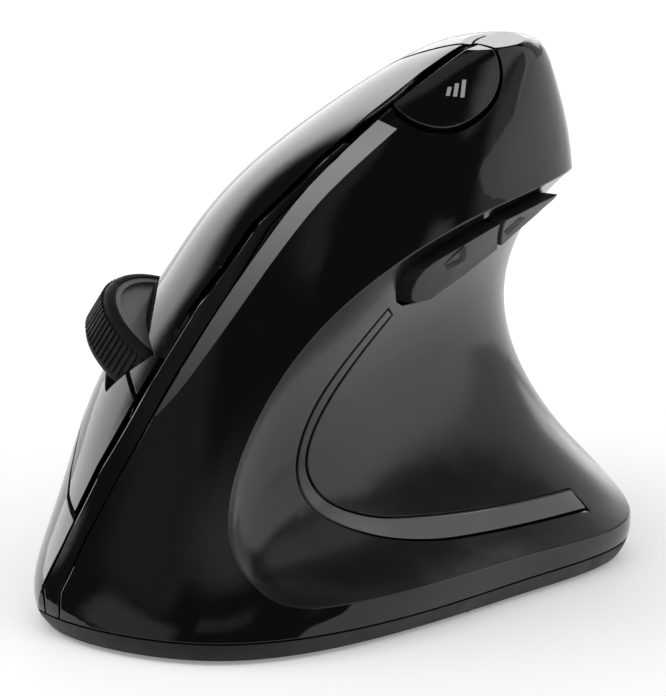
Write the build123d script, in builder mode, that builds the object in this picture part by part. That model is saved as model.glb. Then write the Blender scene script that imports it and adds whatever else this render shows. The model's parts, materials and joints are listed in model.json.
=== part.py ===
from build123d import *
import math
import os

os.makedirs("parts", exist_ok=True)

# A right-handed vertical mouse, in millimetres. The nose points to -Y, the palm rests at +Y, the thumb lies at +X
# and the fingers lie at -X. The origin is on the desk, under the middle of the base.

# Driving sizes
body_length = 120.0
body_width = 64.8
body_height = 71.0
foot_height = 0.6
wall = 2.3
base_thickness = 2.0
seam = 0.3
button_gap = 0.45
click_gap = 0.65
running_fit = 0.05
slack = 0.3

# Body sections: the height of each, then its outline from the ridge round the nose, the thumb side, the heel and
# the palm. They are drawn for a body of the drawn sizes and stretched to the driving ones.
drawn_length = 120.0
drawn_width = 64.8
drawn_height = 70.4
heel = 8
sections = [
    (0.0, [(-19.5, -50), (-6, -59), (10, -58.4), (24, -35.5), (29.8, -6), (29.8, 19.5), (20.5, 30), (7.5, 45),
           (-6, 57.5), (-22, 45), (-29, 15), (-28.5, -15), (-25.5, -38)]),
    (5.5, [(-18.8, -52.8), (-6, -57.6), (9, -56.6), (25.4, -34.8), (30.8, -6), (31.3, 20), (21.5, 30.5), (7.6, 44.6),
           (-5, 60), (-23, 47), (-31, 15), (-30.2, -15), (-26.6, -39)]),
    (12, [(-17.2, -48.5), (-6, -52.5), (8, -51), (24.5, -33), (30, -6), (29.8, 19.5), (18, 31), (4.6, 44.4),
          (-7, 59.5), (-24, 46), (-31.4, 14), (-30.6, -14), (-27, -33.5)]),
    (20, [(-15.2, -43), (-6, -45.3), (4.8, -44), (21, -31), (28.6, -5), (27.5, 19.5), (15, 32), (2.8, 43.4),
          (-9, 57.5), (-24.5, 43), (-31.2, 13), (-30.4, -12), (-26.2, -29.5)]),
    (30, [(-11.8, -36.3), (-4, -37.0), (6, -34.5), (19, -24), (26.5, -3), (25.5, 20), (13, 33), (1.4, 42),
          (-9, 53.5), (-22.5, 39.5), (-28.8, 12), (-27.8, -9), (-23.6, -25)]),
    (40, [(-8, -29.5), (0, -29), (9, -24), (18, -14), (24, -1), (24, 20), (15.5, 30), (5, 39), (-6, 48),
          (-18, 35), (-23.4, 12), (-22.8, -5), (-19.2, -19)]),
    (50, [(-3.0, -22.0), (5, -19.5), (13, -12), (19.5, -2), (22.3, 8), (22.3, 20), (16, 29), (6.5, 36),
          (-2, 41.5), (-12.5, 30), (-17.6, 12), (-17.4, 0), (-14.4, -11.6)]),
    (58, [(3.2, -14.8), (9, -12), (15, -6), (19.5, 1), (21.6, 9), (21.6, 19), (17, 26.5), (9, 32), (1.5, 35),
          (-6, 26), (-9.5, 12), (-9.5, 3), (-6.8, -5.4)]),
    (63.4, [(7.6, -8.8), (12.3, -5.5), (16.5, -1), (19.5, 4), (21.2, 10), (20.9, 18), (17, 23.6), (10.5, 27),
          (4.8, 28.4), (-0.4, 22), (-3, 12), (-2.6, 6), (0.6, -1)]),
    (68, [(11.4, -1), (14.4, 0.6), (17.2, 3.6), (19.3, 7), (20.7, 11), (20.2, 16.4), (17.4, 20.2), (12.8, 21.8),
          (8.8, 21.4), (5.6, 17.6), (4.2, 12.6), (5, 8.6), (7.4, 3.8)]),
    (70.4, [(13.6, 4.6), (15.4, 5), (17.2, 6.2), (18.6, 8), (19.3, 10.4), (18.9, 13), (17.4, 14.8), (15.3, 15.3),
            (13.4, 14.6), (12.2, 12.8), (11.6, 10.8), (11.8, 8.8), (12.5, 6.8)]),
]

# The thumb scoop: at each station along the body, its upper crease, its deepest point and its lower crease
scoop_stations = [
    (-54, (24, 22), (20, 13), (30, 4)),
    (-44, (5.2, 20), (6.3, 13.6), (17.5, 6.6)),
    (-20, (11.8, 42.4), (7.4, 24), (29.7, 5.5)),
    (0, (20.8, 50.2), (8.6, 29), (31.3, 5.5)),
    (20, (22.5, 51.6), (9.3, 30), (31.2, 5.6)),
    (40, (12.6, 51.6), (-0.6, 27), (13.6, 5.6)),
    (64, (3, 50), (-10.5, 25), (0, 5.5)),
]
scoop_reach = 30.0
scoop_far = 120.0

# Width of the dark band along the ridge, seen from the nose, at each body section
band_widths = [3.2, 3.4, 3.2, 3.3, 2.9, 2.9, 1.6, 1.2, 0.9, 0.7, 0.6]
band_top = 60.0

# The click buttons' outline, seen from the finger side, as places along the body and up it
click_outline = [(-75, 12.6), (-47, 13.7), (-41.7, 15.1), (-37.4, 17.4), (-33.2, 20.4), (-27.5, 23.6), (-18, 24.4),
                 (12, 24.6), (12, 60), (6.5, 70.6), (6.5, 90), (-75, 90)]

# The scroll wheel, whose axle lies along the slope of the finger side
wheel_place = (-16.4, -19.0, 30.4)
wheel_lean = 58.0
wheel_radius = 12.9
wheel_width = 7.0
tyre_depth = 1.6
rib_count = 84
rib_depth = 0.3
hub_dish = 0.6
hub_rim = 0.8
hub_step = 0.2
hub_boss_wall = 1.2
tyre_round = 1.1
rib_width = 0.5
rib_inset = 1.2
axle_radius = 1.0
wheel_clearance = 0.9

# The encoder at the lower end of the axle
encoder_gap = 2.2
encoder_thickness = 4.0
encoder_length = 10.0
encoder_top = 2.6
encoder_wall = 0.4
axle_end_gap = 0.8
axle_drop = 1.2

# The slope board under the finger panel, measured from the wheel's axle
board_depth = 4.0
board_thickness = 1.6
board_low = -17.0
board_high = 14.5
board_front = -11.0
board_back = 24.0
board_corner_width = 16.0
board_corner_length = 14.0
board_screw_spots = [(-13.5, 6.5), (-13.5, 21.0), (11.0, 21.0)]
frame_low = -14.2
frame_high = 20.5
frame_front = 3.0
frame_depth = 7.6
frame_thickness = 2.0
frame_peg_radius = 2.2
frame_leg_x = -15.8
frame_leg_size = (2.4, 3.4)
frame_leg_height = 13.8
mast_place = (2.2, -12.9)
mast_size = (3.4, 2.8)
mast_height = 48.0

# Carrier of the wheel: its arms, the bar behind the wheel, the tab over the middle switch and its pivot
arm_gap = 0.6
arm_thickness = 1.2
arm_height = 4.2
arm_front = 2.6
carrier_bar = 1.6
carrier_tab = 2.6
carrier_tab_length = 4.0
carrier_tab_low = -0.6
carrier_tab_high = 1.0
pivot_back = 18.0
pivot_reach = 8.0
pivot_end = 2.0
stand_top = 2.0

# Micro-switches
switch_length = 12.8
switch_width = 5.8
switch_height = 5.6
plunger_height = 1.1
small_switch = 6.0
small_switch_height = 2.8
small_plunger = 0.6
click_plunger = (2.4, 3.0)
lower_plunger = (2.4, 2.4)
side_plunger = (1.8, 1.8)
tiny_plunger = (1.6, 1.6)
middle_switch_size = (3.0, 4.0, 1.8)
resolution_switch_width = 4.5
small_switch_gap = 0.9
click_stem_gap = 0.4

# Stems of the buttons, and the places of the click switches up the slope and along it
stem_radius = 1.4
stem_reach = 16.0
upper_switch_spot = (11.0, 12.0)
lower_switch_spot = (-8.7, 12.0)

# Side buttons, seen from the thumb side, as places along the body and up it
side_button_raise = 1.3
side_switch_face = 8.4
side_stems = {"forward_button": (-1.0, 42.0), "back_button": (13.0, 46.0)}
side_board_middle = (2.2, 44.2)
side_board_size = (31.4, 8.6)
forward_outline = [(-4.6, 37.1), (-6.6, 38.0), (-8.2, 39.7), (-9.1, 41.7), (-8.8, 43.1), (-7.6, 44.0), (-2.1, 45.6),
                   (2.9, 47.5), (12.5, 41.3), (6.0, 38.5), (-0.4, 36.7)]
back_outline = [(3.5, 47.8), (10.4, 48.9), (15.6, 49.0), (17.6, 47.8), (17.2, 45.2), (13.1, 41.6)]

# Resolution button, on the front face near the top: its place, its slope and its outline along and across the ridge
resolution_place = (8.3, -5.9, 64.9)
resolution_along = (0.36, 0.84, 0.41)
resolution_normal = (0.50, -0.54, 0.68)
resolution_outline = [(-0.4, -1.2), (-0.5, -3.2), (0.6, -5.8), (2.8, -7.9), (5.4, -8.9), (8.8, -9.1), (11.8, -8.4),
                      (14.0, -6.9), (15.4, -4.6), (15.8, -1.2)]
resolution_overrun = 4.0
resolution_raise = 0.7
resolution_middle = (8.0, -4.8)
resolution_stem_depth = 3.4
resolution_stem_length = 5.4
resolution_switch_height = 2.0
resolution_board_size = (14.8, 5.0)
resolution_board_middle = (3.4, -4.8)
resolution_board_thickness = 1.0
resolution_peg_spots = [(-2.6, -4.8)]
resolution_peg_radius = 1.2
resolution_peg_length = 9.0

# Thumb trim, seen from the thumb side
trim_outer = [(-8.6, 36.9), (-16.9, 31), (-22.9, 26.7), (-27.4, 22), (-29.7, 18), (-29.9, 14.4), (-27.4, 11.6),
              (-21.5, 9.5), (-11.7, 8.4), (1, 7.7), (12.4, 7.2)]
trim_inner = [(14, 8.9), (4, 9.4), (-8, 10.2), (-18, 11.3), (-24.6, 12.8), (-27.6, 15.2), (-27.9, 18.4), (-25.6, 22.2),
              (-21.2, 26.1), (-15, 30.3), (-6.8, 35.8)]
trim_depth = 1.2

# Batteries: two AAA cells side by side
cell_diameter = 10.5
cell_length = 44.5
cell_nub_radius = 1.9
cell_nub_height = 0.8
cell_pitch = 11.5
bay_centre = -9.3
bay_front = -9.5
bay_spring_room = 3.0
bay_plate_room = 1.2
bay_wall = 1.2
bay_wall_height = 7.0
contact_sheet = 0.4
contact_margin = 1.0
spring_radii = (3.4, 2.0)
plate_rib_width = 2.0
door_thickness = 1.0
door_ledge = 1.2
door_cut_length = 120.0
door_rib_count = 4
door_rib_pitch = 2.5
door_rib_size = (9.0, 0.8, 0.3)
door_rib_start = -4.0

# Electronics on the base
main_board_place = (-3.5, -29.6)
main_board_size = (23.0, 28.8)
main_board_height = 4.0
sensor_place = (-3.0, -22.0)
sensor_size = (10.0, 9.0, 4.0)
lens_size = (13.6, 12.0)
lens_eye_radius = 3.0
aperture_radius = 4.2
lens_flange = 1.6
sensor_window = 3.0
light_radius = 1.5
light_height = 3.4
light_dome = 1.2
light_offset = 8.0
boss_radius = 1.9
boss_inset = 2.0
chip_size = (6.0, 6.0, 1.0)
chip_place = (-9.0, -36.0)

# Power slider
slider_place = (-3.0, -37.0)
slider_size = (6.0, 3.6)
slider_travel = 3.0
slider_sink = 0.3
slider_height = 0.9
slider_neck = (2.2, 1.6)
slider_groove = (0.5, 2.6, 0.3)
slider_grooves = [-1.6, 0.0, 1.6]
power_switch_size = (8.6, 3.7, 2.4)

# Stored receiver
receiver_place = (14.0, 13.0)
receiver_size = (14.0, 19.0, 6.0)
receiver_cap_length = 7.0
receiver_plug_width = 12.0
receiver_plug_height = 4.5
receiver_sink = 0.5
receiver_corner = 1.0

# Screws and their posts
front_screw_places = [(2.0, -50.0), (26.0, 2.0), (5.6, 43.5)]
palm_screw_places = [(-25.0, 24.0), (-26.0, -14.0)]
screw_radius = 1.0
screw_head_radius = 1.9
screw_head_height = 1.3
screw_length = 5.4
post_radius = 2.6
post_height = 9.0
screw_recess = 0.1
screw_cross = (2.2, 0.5)
screw_cross_depth = 0.5
board_screw_radius = 0.8
board_screw_head = 1.5
board_screw_head_height = 0.9
board_screw_length = 4.4

# Glide feet
front_foot_size = (24.0, 5.0)
front_foot_place = (0.0, -45.0)
rear_foot_size = (4.0, 14.0)
rear_foot_places = [(-25.0, 6.0), (24.5, -11.0), (8.5, 32.5)]

# Stretch from the drawn sizes to the driving ones
stretch_x = body_width / drawn_width
stretch_y = body_length / drawn_length
stretch_z = (body_height - foot_height) / drawn_height
base_top = foot_height + base_thickness
rim = base_top + slack / 2


def lifted(z):
    return foot_height + z * stretch_z


def placed(x, y, z):
    return Vector(x * stretch_x, y * stretch_y, lifted(z))


def stretched(points):
    return [Vector(x * stretch_x, y * stretch_y) for x, y in points]


def outset(points, distance):
    moved = []
    for index, point in enumerate(points):
        along = points[(index + 1) % len(points)] - points[index - 1]
        outward = Vector(along.Y, -along.X).normalized()
        moved.append(point + outward * distance)
    return moved


def body_form(distance, top=True):
    """The outer body, grown or shrunk sideways by a distance."""
    with BuildPart() as form:
        for z, points in sections if top else sections[:-1]:
            ring = outset(stretched(points), distance)
            with BuildSketch(Plane.XY.offset(lifted(z))):
                with BuildLine():
                    Spline(*ring[:heel + 1])
                    Spline(*ring[heel:], ring[0])
                make_face()
        loft()
    return form.part


def scoop_form(distance):
    """The air of the thumb scoop, grown into the body by a distance."""
    with BuildPart() as form:
        for y, upper, deep, lower in reversed(scoop_stations):
            top = (upper[0] * stretch_x - distance, lifted(upper[1]) + distance)
            waist = (deep[0] * stretch_x - distance, lifted(deep[1]))
            ledge = (lower[0] * stretch_x - distance, lifted(lower[1]) - distance)
            far_top = (top[0] + scoop_reach, top[1] + 6)
            far_low = (ledge[0] + scoop_reach, ledge[1] - 1)
            with BuildSketch(Plane(origin=(0, y * stretch_y, 0), x_dir=(1, 0, 0), z_dir=(0, -1, 0))):
                with BuildLine():
                    Spline(far_top, top, waist, ledge, far_low)
                    Polyline(far_low, (scoop_far, far_low[1]), (scoop_far, far_top[1]), far_top)
                make_face()
        loft()
    return form.part


def finger_zone(grown, band=0.0):
    """Everything on the finger side of the ridge and through the heel, with a share of the ridge band."""
    reach = 60.0
    rows = [(-12.0, 0), *[(section[0], index) for index, section in enumerate(sections)]]
    rows.append((drawn_height + 12.0, len(sections) - 1))
    with BuildPart() as form:
        for z, index in rows:
            ring = stretched(sections[index][1])
            across = max(p.X for p in ring) - min(p.X for p in ring)
            inset = min(4.6, 0.2 * across) + grown
            front = (ring[1] - ring[0]).normalized()
            side = (ring[-1] - ring[0]).normalized()
            edge = ring[0] + front * (band_widths[index] * band + grown)
            inner = outset(ring, -inset)
            rear = ring[heel] + (ring[heel - 1] - ring[heel]).normalized() * grown
            beyond = rear + Vector(0.3, 1.0) * 25
            near = edge - side * 30
            with BuildSketch(Plane.XY.offset(lifted(z))):
                with BuildLine():
                    Polyline(near, edge, inner[-1], inner[-2], inner[-3], rear, beyond,
                             (-reach * 2, beyond.Y), (-reach * 2, near.Y), close=True)
                make_face()
        loft(ruled=True)
    return form.part


def side_prism(points, shrink=0.0):
    """A bar along X whose outline is drawn from the side, as places along the body and up it."""
    outline = [(y * stretch_y, lifted(z)) for y, z in points]
    with BuildPart() as form:
        with BuildSketch(Plane(origin=(-100, 0, 0), x_dir=(0, 1, 0), z_dir=(1, 0, 0))):
            with BuildLine():
                Polyline(*outline, close=True)
            make_face()
            if shrink:
                offset(amount=-shrink, kind=Kind.INTERSECTION)
        extrude(amount=200)
    return form.part


# Directions of the wheel: along its axle, and square out of the finger side
lean = math.radians(wheel_lean)
axle_dir = Vector(math.cos(lean), 0, math.sin(lean))
out_dir = Vector(-math.sin(lean), 0, math.cos(lean))
wheel_centre = placed(*wheel_place)


def slope_plane(out):
    """A sketch plane at a height above the axle: x runs up the slope, y runs towards the palm."""
    return Plane(origin=wheel_centre + out_dir * out, x_dir=axle_dir, z_dir=out_dir)


def axle_plane(along):
    return Plane(origin=wheel_centre + axle_dir * along, x_dir=(0, -1, 0), z_dir=axle_dir)


def slope_box(low, high, front, back, bottom, top):
    with BuildPart() as form:
        with BuildSketch(slope_plane(bottom)):
            with Locations(((low + high) / 2, (front + back) / 2)):
                Rectangle(high - low, back - front)
        extrude(amount=top - bottom)
    return form.part


def disc(plane, radius, height):
    with BuildPart() as form:
        with BuildSketch(plane):
            Circle(radius)
        extrude(amount=height)
    return form.part


def block(x, y, width, length, bottom, top):
    """An upright block, given by its middle in plan."""
    with BuildPart() as form:
        with BuildSketch(Plane.XY.offset(bottom)):
            with Locations((x, y)):
                Rectangle(width, length)
        extrude(amount=top - bottom)
    return form.part


def trim_prism(grown=0.0):
    """A bar along X with the outline of the thumb trim."""
    ring = outset([Vector(y * stretch_y, lifted(z)) for y, z in trim_outer + trim_inner], grown)
    outer = ring[:len(trim_outer)]
    inner = ring[len(trim_outer):]
    with BuildPart() as form:
        with BuildSketch(Plane(origin=(-10, 0, 0), x_dir=(0, 1, 0), z_dir=(1, 0, 0))):
            with BuildLine():
                Spline(*outer)
                Line(outer[-1], inner[0])
                Spline(*inner)
                Line(inner[-1], outer[0])
            make_face()
        extrude(amount=60)
    return form.part


def resolution_prism(grown=0.0, overrun=0.0):
    """A bar across the front face with the outline of the resolution button, run on over the ridge by a distance."""
    ring = outset([Vector(*point) for point in resolution_outline], grown)
    with BuildPart() as form:
        with BuildSketch(resolution_plane.offset(-8)):
            with BuildLine():
                Spline(*ring)
                if overrun:
                    over = Vector(0, overrun)
                    Polyline(ring[-1], ring[-1] + over, ring[0] + over, ring[0])
                else:
                    Line(ring[-1], ring[0])
            make_face()
        extrude(amount=20)
    return form.part


def finish(part, name):
    """Names a finished piece, sets it over the origin and writes it."""
    part = part.moved(Location((-middle.X, -middle.Y, 0)))
    part.label = name
    export_step(part, f"parts/{name}.step")
    print(name, round(part.volume, 1), len(part.solids()))


resolution_plane = Plane(origin=placed(*resolution_place), x_dir=resolution_along, z_dir=resolution_normal)
resolution_switch_low = resolution_stem_depth + small_switch_gap + small_plunger + resolution_switch_height
resolution_board_plane = resolution_plane.offset(-resolution_switch_low)
outer_form = body_form(0)
inner_form = body_form(-wall * 1.2, top=False)
skin_form = body_form(-wall / 2)
scoop = scoop_form(0)
deep_scoop = scoop_form(wall)
skin_scoop = scoop_form(wall / 2)

with BuildPart() as hollow:
    add(inner_form)
    add(deep_scoop, mode=Mode.SUBTRACT)

# The whole casing, before it is divided
with BuildPart() as casing:
    add(outer_form)
    add(scoop, mode=Mode.SUBTRACT)
    add(hollow.part, mode=Mode.SUBTRACT)
    split(bisect_by=Plane.XY.offset(rim), keep=Keep.TOP)

# The base's slab, and the middle of the two, which goes over the origin
with BuildPart() as base_slab:
    add(outer_form)
    split(bisect_by=Plane.XY.offset(base_top), keep=Keep.BOTTOM)
middle = Compound([casing.part, base_slab.part]).bounding_box().center()

# Solid core just under the outer surface, which trims posts and stems
with BuildPart() as core:
    add(skin_form)
    add(skin_scoop, mode=Mode.SUBTRACT)

wheel_slot = disc(axle_plane(-wheel_width / 2 - wheel_clearance), wheel_radius + wheel_clearance,
                  wheel_width + 2 * wheel_clearance)
front_screws = [(x * stretch_x, y * stretch_y) for x, y in front_screw_places]
palm_screws = [(x * stretch_x, y * stretch_y) for x, y in palm_screw_places]
case_screws_at = front_screws + palm_screws


def screw_posts(places):
    """Posts for the case screws, trimmed to the casing."""
    with BuildPart() as posts:
        with BuildSketch(Plane.XY.offset(rim)):
            with Locations(*places):
                Circle(post_radius)
        extrude(amount=post_height)
        add(core.part, mode=Mode.INTERSECT)
    return posts.part


def screw_bores(radius, bottom, height):
    """Bores for all the case screws."""
    with BuildPart() as bores:
        with BuildSketch(Plane.XY.offset(bottom)):
            with Locations(*case_screws_at):
                Circle(radius)
        extrude(amount=height)
    return bores.part


post_bore_depth = foot_height + screw_head_height + screw_length + slack - rim

# Side buttons and trim as layers of the scoop's surface
with BuildPart() as side_layer:
    add(scoop_form(wall))
    add(scoop_form(-side_button_raise), mode=Mode.SUBTRACT)
side_buttons = {"forward_button": forward_outline, "back_button": back_outline}
trim_pocket_depth = trim_depth + slack / 3

# Front shell: the nose, the roof and the thumb side
with BuildPart() as trim_pocket:
    add(scoop_form(trim_pocket_depth))
    add(trim_prism(slack * 0.8), mode=Mode.INTERSECT)
with BuildPart() as resolution_pegs:
    with BuildSketch(resolution_board_plane):
        with Locations(*resolution_peg_spots):
            Circle(resolution_peg_radius)
    extrude(amount=resolution_peg_length)
    add(core.part, mode=Mode.INTERSECT)
with BuildPart() as front_shell:
    add(casing.part)
    add(finger_zone(seam, 1.0), mode=Mode.SUBTRACT)
    add(screw_posts(front_screws))
    add(trim_pocket.part, mode=Mode.SUBTRACT)
    for outline in side_buttons.values():
        add(side_prism(outline, -button_gap), mode=Mode.SUBTRACT)
    add(resolution_prism(button_gap, resolution_overrun), mode=Mode.SUBTRACT)
    add(resolution_pegs.part)
    add(screw_bores(screw_radius + running_fit, rim, post_bore_depth), mode=Mode.SUBTRACT)
finish(front_shell.part, "front_shell")

# Palm shell: the finger side below and behind the click buttons
with BuildPart() as palm_shell:
    add(casing.part)
    add(finger_zone(0), mode=Mode.INTERSECT)
    add(side_prism(click_outline, -button_gap / 2), mode=Mode.SUBTRACT)
    add(wheel_slot, mode=Mode.SUBTRACT)
    add(screw_posts(palm_screws))
    add(screw_bores(screw_radius + running_fit, rim, post_bore_depth), mode=Mode.SUBTRACT)
finish(palm_shell.part, "palm_shell")

# Ridge trim: the dark band between the front shell and the finger panel
with BuildPart() as ridge_trim:
    add(casing.part)
    add(finger_zone(0, 1.0), mode=Mode.INTERSECT)
    add(finger_zone(seam), mode=Mode.SUBTRACT)
    add(wheel_slot, mode=Mode.SUBTRACT)
    split(bisect_by=Plane.XY.offset(lifted(band_top)), keep=Keep.BOTTOM)
finish(ridge_trim.part, "ridge_trim")

# Click buttons: the finger panel, divided at the wheel, each with a stem over its micro-switch
with BuildPart() as click_panel:
    add(casing.part)
    add(finger_zone(-click_gap), mode=Mode.INTERSECT)
    add(side_prism(click_outline, button_gap / 2), mode=Mode.INTERSECT)
    add(wheel_slot, mode=Mode.SUBTRACT)
switch_top = switch_height - board_depth
plunger_top = switch_top + plunger_height
lower_plunger_top = small_switch_height + small_plunger - board_depth
for name, low, high, spot, top in (
        ("upper_click_button", button_gap / 2, 70, upper_switch_spot, plunger_top),
        ("lower_click_button", -70, -button_gap / 2, lower_switch_spot, lower_plunger_top)):
    with BuildPart() as stem:
        with BuildSketch(slope_plane(top + click_stem_gap)):
            with Locations(spot):
                Circle(stem_radius)
        extrude(amount=stem_reach)
        add(core.part, mode=Mode.INTERSECT)
    with BuildPart() as click_button:
        add(click_panel.part)
        add(slope_box(low, high, -60, 60, -40, 40), mode=Mode.INTERSECT)
        add(stem.part)
    finish(click_button.part, name)

# Forward and back buttons: plates of the scoop's surface, raised, each with a stem over its switch
for name, outline in side_buttons.items():
    y, z = side_stems[name]
    with BuildPart() as side_stem:
        with BuildSketch(Plane.YZ.offset(side_switch_face + small_switch_gap)):
            with Locations((y * stretch_y, lifted(z))):
                Circle(stem_radius)
        extrude(amount=stem_reach)
        add(core.part, mode=Mode.INTERSECT)
    with BuildPart() as side_button:
        add(side_layer.part)
        add(side_prism(outline), mode=Mode.INTERSECT)
        add(outer_form, mode=Mode.INTERSECT)
        add(side_stem.part)
    finish(side_button.part, name)

# Resolution button: a plate of the front face, raised, with a stem over its switch
with BuildPart() as resolution_stem:
    with BuildSketch(resolution_plane.offset(-resolution_stem_depth)):
        with Locations(resolution_middle):
            Circle(stem_radius)
    extrude(amount=resolution_stem_length)
    add(core.part, mode=Mode.INTERSECT)
with BuildPart() as resolution_button:
    add(body_form(resolution_raise))
    add(inner_form, mode=Mode.SUBTRACT)
    add(resolution_prism(), mode=Mode.INTERSECT)
    add(resolution_stem.part)
finish(resolution_button.part, "resolution_button")

# Thumb trim: a light strip let into the scoop
with BuildPart() as thumb_trim:
    add(scoop_form(trim_depth))
    add(scoop, mode=Mode.SUBTRACT)
    add(trim_prism(), mode=Mode.INTERSECT)
finish(thumb_trim.part, "thumb_trim")

# Wheel: ribbed tyre, dished hub and axle
half_width = wheel_width / 2
hub_radius = wheel_radius - tyre_depth
with BuildPart() as wheel_tyre:
    with BuildSketch(axle_plane(-half_width)):
        Circle(wheel_radius - rib_depth)
        Circle(hub_radius, mode=Mode.SUBTRACT)
    extrude(amount=wheel_width)
    fillet(wheel_tyre.edges().filter_by(GeomType.CIRCLE).group_by(lambda e: round(e.radius, 3))[-1], tyre_round)
    with BuildSketch(axle_plane(-half_width + rib_inset)):
        with PolarLocations(wheel_radius - rib_depth, rib_count):
            Rectangle(2 * rib_depth, rib_width)
    extrude(amount=wheel_width - 2 * rib_inset)
finish(wheel_tyre.part, "wheel_tyre")
with BuildPart() as wheel_hub:
    with BuildSketch(axle_plane(-half_width + hub_step)):
        Circle(hub_radius)
    extrude(amount=wheel_width - 2 * hub_step)
    for face_at, depth in ((half_width - hub_step, -hub_dish), (-half_width + hub_step, hub_dish)):
        with BuildSketch(axle_plane(face_at)):
            Circle(hub_radius - hub_rim)
            Circle(axle_radius + hub_boss_wall, mode=Mode.SUBTRACT)
        extrude(amount=depth, mode=Mode.SUBTRACT)
    with BuildSketch(axle_plane(-half_width)):
        Circle(axle_radius)
    extrude(amount=wheel_width, mode=Mode.SUBTRACT)
finish(wheel_hub.part, "wheel_hub")
encoder_near = -half_width - encoder_gap
encoder_far = encoder_near - encoder_thickness
arm_near = half_width + arm_gap
with BuildPart() as wheel_axle:
    with BuildSketch(axle_plane(encoder_far + axle_end_gap)):
        Circle(axle_radius)
    extrude(amount=arm_near + arm_thickness - slack - encoder_far - axle_end_gap)
finish(wheel_axle.part, "wheel_axle")

# Carrier: two arms beside the wheel, joined behind it, tilting on a pin
bar_front = wheel_radius + wheel_clearance + slack
tab_near = arm_near + arm_thickness
with BuildPart() as wheel_carrier:
    for low in (arm_near, -arm_near - arm_thickness):
        add(slope_box(low, low + arm_thickness, -arm_front, pivot_back + pivot_end, -arm_height / 2, arm_height / 2))
    add(slope_box(-arm_near, arm_near, bar_front, bar_front + carrier_bar, -arm_height / 2, arm_height / 2))
    add(slope_box(tab_near, tab_near + carrier_tab, -arm_front, carrier_tab_length - arm_front, carrier_tab_low,
                  carrier_tab_high))
    with BuildSketch(axle_plane(-pivot_reach)):
        with Locations((0, 0), (-pivot_back, 0)):
            Circle(axle_radius + running_fit)
    extrude(amount=2 * pivot_reach, mode=Mode.SUBTRACT)
finish(wheel_carrier.part, "wheel_carrier")
stand_near = arm_near + arm_thickness + slack
with BuildPart() as pivot_pin:
    with BuildSketch(axle_plane(-pivot_reach)):
        with Locations((-pivot_back, 0)):
            Circle(axle_radius)
    extrude(amount=2 * pivot_reach)
finish(pivot_pin.part, "pivot_pin")
with BuildPart() as pivot_stand:
    for low in (stand_near, -pivot_reach):
        add(slope_box(low, low + pivot_reach - stand_near, pivot_back - pivot_end, pivot_back + pivot_end,
                      -board_depth, stand_top))
    with BuildSketch(axle_plane(-pivot_reach)):
        with Locations((-pivot_back, 0)):
            Circle(axle_radius)
    extrude(amount=2 * pivot_reach, mode=Mode.SUBTRACT)
finish(pivot_stand.part, "pivot_stand")

# Encoder, with room for the axle to drop when the wheel is pressed
with BuildPart() as wheel_encoder:
    add(slope_box(encoder_far, encoder_near, -encoder_length / 2, encoder_length / 2, -board_depth, encoder_top))
    add(slope_box(encoder_far + encoder_wall, encoder_near, -axle_radius - slack, axle_radius + slack,
                  -axle_radius - axle_drop, axle_radius + slack), mode=Mode.SUBTRACT)
finish(wheel_encoder.part, "wheel_encoder")

# Slope board, notched for the wheel, and the switches that stand on it
board_bottom = -board_depth - board_thickness
notch_half = half_width + wheel_clearance
with BuildPart() as slope_screw_bores:
    with BuildSketch(slope_plane(-frame_depth - frame_thickness)):
        with Locations(*board_screw_spots):
            Circle(board_screw_radius)
    extrude(amount=frame_depth + frame_thickness)
with BuildPart() as slope_board:
    with BuildSketch(slope_plane(board_bottom)):
        with BuildLine():
            Polyline((board_low, board_front), (board_high - board_corner_width, board_front),
                     (board_high, board_front + board_corner_length), (board_high, board_back),
                     (board_low, board_back), close=True)
        make_face()
        Rectangle(2 * notch_half, 2 * bar_front, mode=Mode.SUBTRACT)
    extrude(amount=board_thickness)
    add(slope_screw_bores.part, mode=Mode.SUBTRACT)
finish(slope_board.part, "slope_board")


def micro_switch(plane, x, y, width, length, height, plunger, plunger_size):
    """A switch body with a plunger on its top, standing on a plane."""
    with BuildPart() as switch:
        with BuildSketch(plane):
            with Locations((x, y)):
                Rectangle(width, length)
        extrude(amount=height)
        with BuildSketch(plane.offset(height)):
            with Locations((x, y)):
                Rectangle(*plunger_size)
        extrude(amount=plunger)
    return switch.part


board_face = slope_plane(-board_depth)
finish(micro_switch(board_face, *upper_switch_spot, switch_width, switch_length, switch_height, plunger_height,
                    click_plunger), "upper_switch")
finish(micro_switch(board_face, *lower_switch_spot, small_switch, small_switch, small_switch_height, small_plunger,
                    lower_plunger), "lower_switch")
finish(micro_switch(board_face, tab_near + middle_switch_size[0] / 2 + 0.1, carrier_tab_length / 2 - arm_front,
                    *middle_switch_size, small_plunger, tiny_plunger), "middle_switch")

# Main board on the base's bosses, with the motion sensor, the light and the controller
board_x = main_board_place[0] * stretch_x
board_y = main_board_place[1] * stretch_y
board_z = base_top + main_board_height
board_top = board_z + board_thickness
sensor_x = sensor_place[0] * stretch_x
sensor_y = sensor_place[1] * stretch_y
boss_spots = [(board_x + sx * (main_board_size[0] / 2 - boss_inset),
               board_y + sy * (main_board_size[1] / 2 - boss_inset))
              for sx, sy in ((-1, -1), (1, -1), (-1, 1), (1, 1))]
with BuildPart() as main_board:
    with BuildSketch(Plane.XY.offset(board_z)):
        with Locations((board_x, board_y)):
            Rectangle(*main_board_size)
        with Locations((sensor_x, sensor_y)):
            Rectangle(sensor_size[0] - sensor_window, sensor_size[1] - sensor_window, mode=Mode.SUBTRACT)
        with Locations(*boss_spots):
            Circle(board_screw_radius, mode=Mode.SUBTRACT)
    extrude(amount=board_thickness)
finish(main_board.part, "main_board")
finish(block(sensor_x, sensor_y, sensor_size[0], sensor_size[1], board_top, board_top + sensor_size[2]),
       "motion_sensor")
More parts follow.
